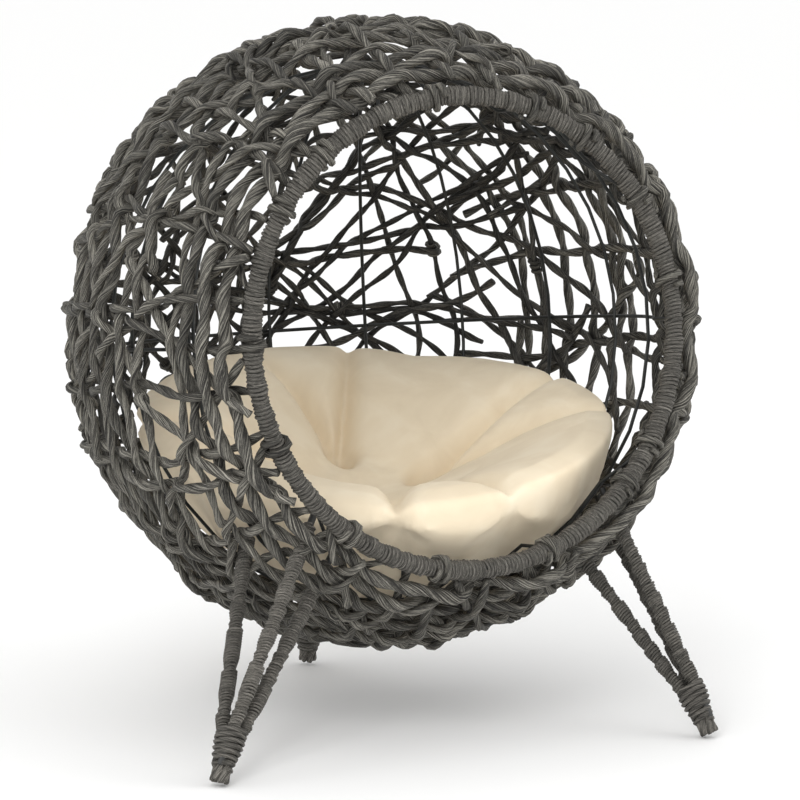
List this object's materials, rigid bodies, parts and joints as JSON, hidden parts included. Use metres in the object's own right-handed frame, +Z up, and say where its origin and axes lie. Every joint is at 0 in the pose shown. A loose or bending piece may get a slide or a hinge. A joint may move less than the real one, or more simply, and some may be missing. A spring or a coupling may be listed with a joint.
{
  "type": "wicker pet bed basket",
  "caption": "Round woven pet basket with a large round doorway in front, on a tripod of cord-wrapped steel legs, with a loose tufted cushion.",
  "frame": {"origin": "on the floor, under the middle of the basket's bounding box", "axes": "+Z up, -Y out through the doorway, +X to the right of someone who looks in through the doorway"},
  "size_m": [0.5184, 0.4784, 0.573],
  "materials": {
    "weave_cord": "matte",
    "wrapping_cord": "matte",
    "frame_wire": "satin",
    "frame_rod": "satin",
    "cushion_velvet": "matte"
  },
  "bodies": {
    "basket": {"base_ring": "frame_wire", "crown_ring": "frame_wire", "doorway_hoop": "frame_rod", "doorway_wrap": "wrapping_cord", "equator_hoop": "frame_wire", "leg_back_foot_binding": "wrapping_cord", "leg_back_foot_tuft": "wrapping_cord", "leg_back_inner_rod": "frame_rod", "leg_back_inner_wrap": "wrapping_cord", "leg_back_lower_rod": "frame_rod", "leg_back_lower_wrap": "wrapping_cord", "leg_back_outer_rod": "frame_rod", "leg_back_outer_wrap": "wrapping_cord", "leg_left_foot_binding": "wrapping_cord", "leg_left_foot_tuft": "wrapping_cord", "leg_left_inner_rod": "frame_rod", "leg_left_inner_wrap": "wrapping_cord", "leg_left_lower_rod": "frame_rod", "leg_left_lower_wrap": "wrapping_cord", "leg_left_outer_rod": "frame_rod", "leg_left_outer_wrap": "wrapping_cord", "leg_right_foot_binding": "wrapping_cord", "leg_right_foot_tuft": "wrapping_cord", "leg_right_inner_rod": "frame_rod", "leg_right_inner_wrap": "wrapping_cord", "leg_right_lower_rod": "frame_rod", "leg_right_lower_wrap": "wrapping_cord", "leg_right_outer_rod": "frame_rod", "leg_right_outer_wrap": "wrapping_cord", "rib_back": "frame_wire", "rib_left_3": "frame_wire", "rib_left_4": "frame_wire", "rib_left_5": "frame_wire", "rib_left_6": "frame_wire", "rib_left_7": "frame_wire", "rib_right_3": "frame_wire", "rib_right_4": "frame_wire", "rib_right_5": "frame_wire", "rib_right_6": "frame_wire", "rib_right_7": "frame_wire", "short_rib_lower_left_1": "frame_wire", "short_rib_lower_left_2": "frame_wire", "short_rib_lower_middle": "frame_wire", "short_rib_lower_right_1": "frame_wire", "short_rib_lower_right_2": "frame_wire", "short_rib_upper_left_1": "frame_wire", "short_rib_upper_left_2": "frame_wire", "short_rib_upper_middle": "frame_wire", "short_rib_upper_right_1": "frame_wire", "short_rib_upper_right_2": "frame_wire", "wicker_weave": "weave_cord"},
    "cushion": {"cushion": "cushion_velvet"}
  },
  "joints": [
    {"name": "cushion_lift", "type": "slide", "parent": "basket", "child": "cushion", "axis": [0, -0.2419, 0.9703], "range_m": [0, 0.12]}
  ]
}
